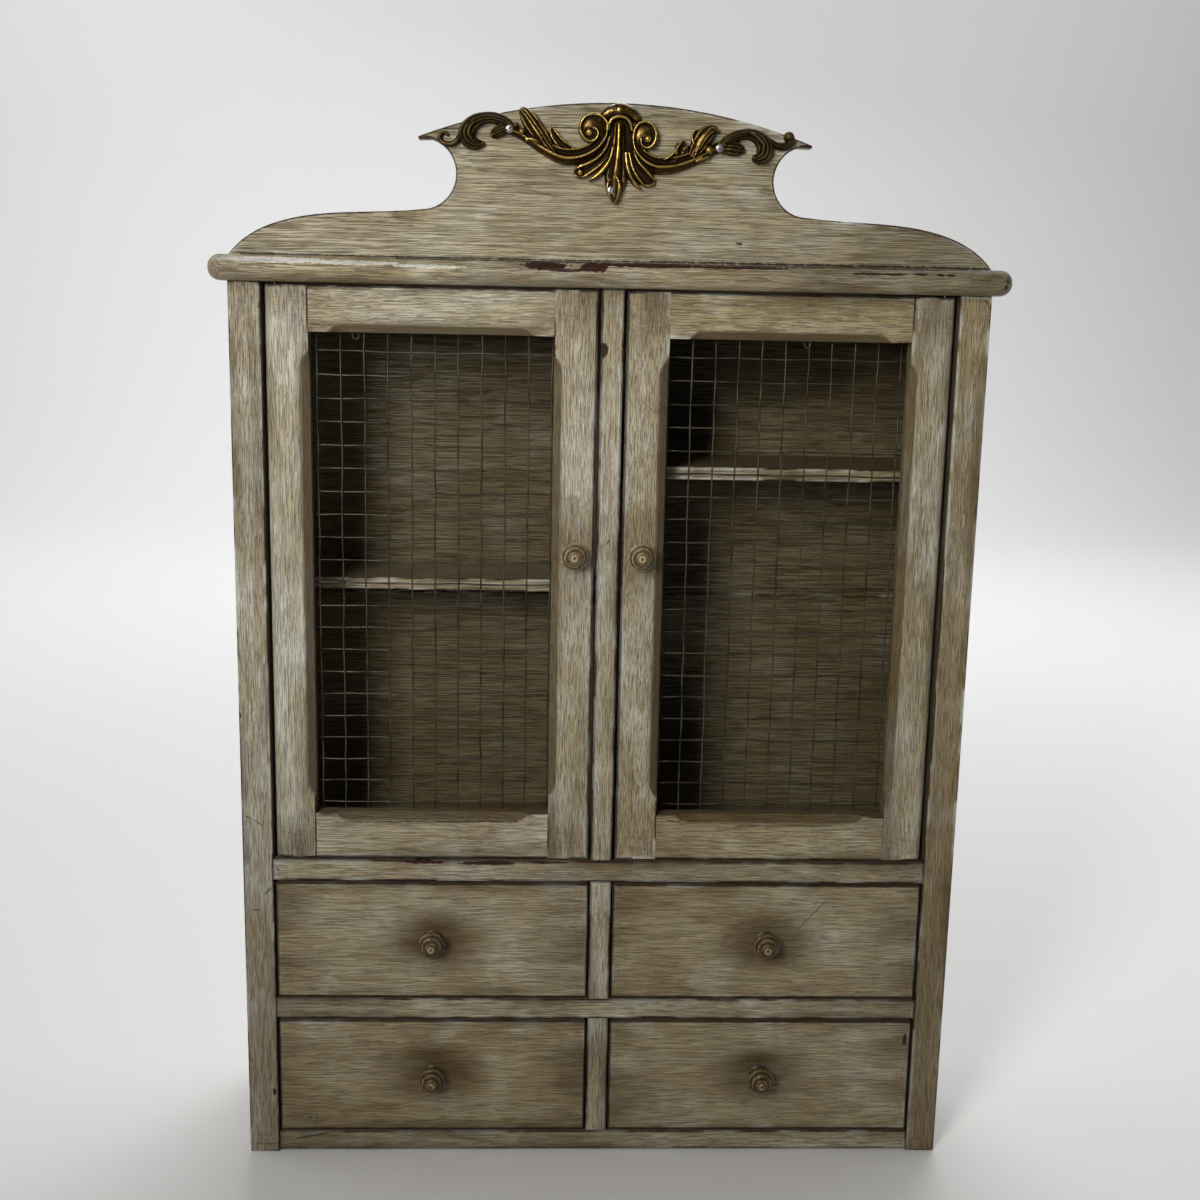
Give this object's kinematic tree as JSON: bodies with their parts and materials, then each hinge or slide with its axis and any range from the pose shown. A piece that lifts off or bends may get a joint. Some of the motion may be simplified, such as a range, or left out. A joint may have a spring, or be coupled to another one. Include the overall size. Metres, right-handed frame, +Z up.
{
  "type": "wall cabinet",
  "caption": "Small painted wall cabinet with wire-mesh doors over drawers, a bullnosed cornice and a shaped pediment with a gilt acanthus mount.",
  "frame": {"origin": "centre of the footprint, knobs included, at the level of the feet", "axes": "+Z up, +X to the viewer's right, the doors and drawers face -Y"},
  "size_m": [0.425, 0.1226, 0.5965],
  "materials": {
    "painted_wood": "distressed cream paint with brown glaze",
    "inner_wood": "thin worn paint on bare softwood",
    "knob_wood": "turned, painted and glazed",
    "gilt_brass": "tarnished gilt",
    "galvanised_wire": "dull zinc",
    "steel": "bright",
    "catch_plastic": "matte"
  },
  "bodies": {
    "carcass": {"back_board_lower": "inner_wood", "back_board_upper": "inner_wood", "bottom_board": "inner_wood", "catch_magnets": "catch_plastic", "cornice_board": "painted_wood", "cupboard_floor": "inner_wood", "cupboard_partition": "inner_wood", "door_pivot_pins": "steel", "drawer_dust_board": "inner_wood", "drawer_guides": "inner_wood", "drawer_muntins": "painted_wood", "drawer_partitions": "inner_wood", "face_mullion": "painted_wood", "face_rail_bottom": "painted_wood", "face_rail_middle": "painted_wood", "face_rail_upper": "painted_wood", "face_stile_left": "painted_wood", "face_stile_right": "painted_wood", "ornament_screws": "steel", "pediment_board": "painted_wood", "pediment_ornament": "gilt_brass", "shelf_cleats": "inner_wood", "shelf_left": "inner_wood", "shelf_right": "inner_wood", "side_left": "painted_wood", "side_right": "painted_wood"},
    "door_left": {"door_bottom_rail_left": "painted_wood", "door_hinge_stile_left": "painted_wood", "door_knob_left": "knob_wood", "door_meeting_stile_left": "painted_wood", "door_mesh_left": "galvanised_wire", "door_top_rail_left": "painted_wood", "strike_plate_left": "steel"},
    "door_right": {"door_bottom_rail_right": "painted_wood", "door_hinge_stile_right": "painted_wood", "door_knob_right": "knob_wood", "door_meeting_stile_right": "painted_wood", "door_mesh_right": "galvanised_wire", "door_top_rail_right": "painted_wood", "strike_plate_right": "steel"},
    "drawer_lower_left": {"drawer_lower_back_left": "inner_wood", "drawer_lower_bottom_left": "inner_wood", "drawer_lower_front_left": "painted_wood", "drawer_lower_knob_left": "knob_wood", "drawer_lower_sides_left": "inner_wood"},
    "drawer_lower_right": {"drawer_lower_back_right": "inner_wood", "drawer_lower_bottom_right": "inner_wood", "drawer_lower_front_right": "painted_wood", "drawer_lower_knob_right": "knob_wood", "drawer_lower_sides_right": "inner_wood"},
    "drawer_upper_left": {"drawer_upper_back_left": "inner_wood", "drawer_upper_bottom_left": "inner_wood", "drawer_upper_front_left": "painted_wood", "drawer_upper_knob_left": "knob_wood", "drawer_upper_sides_left": "inner_wood"},
    "drawer_upper_right": {"drawer_upper_back_right": "inner_wood", "drawer_upper_bottom_right": "inner_wood", "drawer_upper_front_right": "painted_wood", "drawer_upper_knob_right": "knob_wood", "drawer_upper_sides_right": "inner_wood"}
  },
  "joints": [
    {"name": "door_left_hinge", "type": "hinge", "parent": "carcass", "child": "door_left", "pos_m": [-0.1789, -0.04075, 0.34195], "axis": [0, 0, -1], "range_deg": [0, 98]},
    {"name": "door_right_hinge", "type": "hinge", "parent": "carcass", "child": "door_right", "pos_m": [0.1789, -0.04075, 0.34195], "axis": [0, 0, 1], "range_deg": [0, 98]},
    {"name": "drawer_lower_left_slide", "type": "slide", "parent": "carcass", "child": "drawer_lower_left", "axis": [0, -1, 0], "range_m": [0, 0.078]},
    {"name": "drawer_lower_right_slide", "type": "slide", "parent": "carcass", "child": "drawer_lower_right", "axis": [0, -1, 0], "range_m": [0, 0.078]},
    {"name": "drawer_upper_left_slide", "type": "slide", "parent": "carcass", "child": "drawer_upper_left", "axis": [0, -1, 0], "range_m": [0, 0.078]},
    {"name": "drawer_upper_right_slide", "type": "slide", "parent": "carcass", "child": "drawer_upper_right", "axis": [0, -1, 0], "range_m": [0, 0.078]}
  ]
}
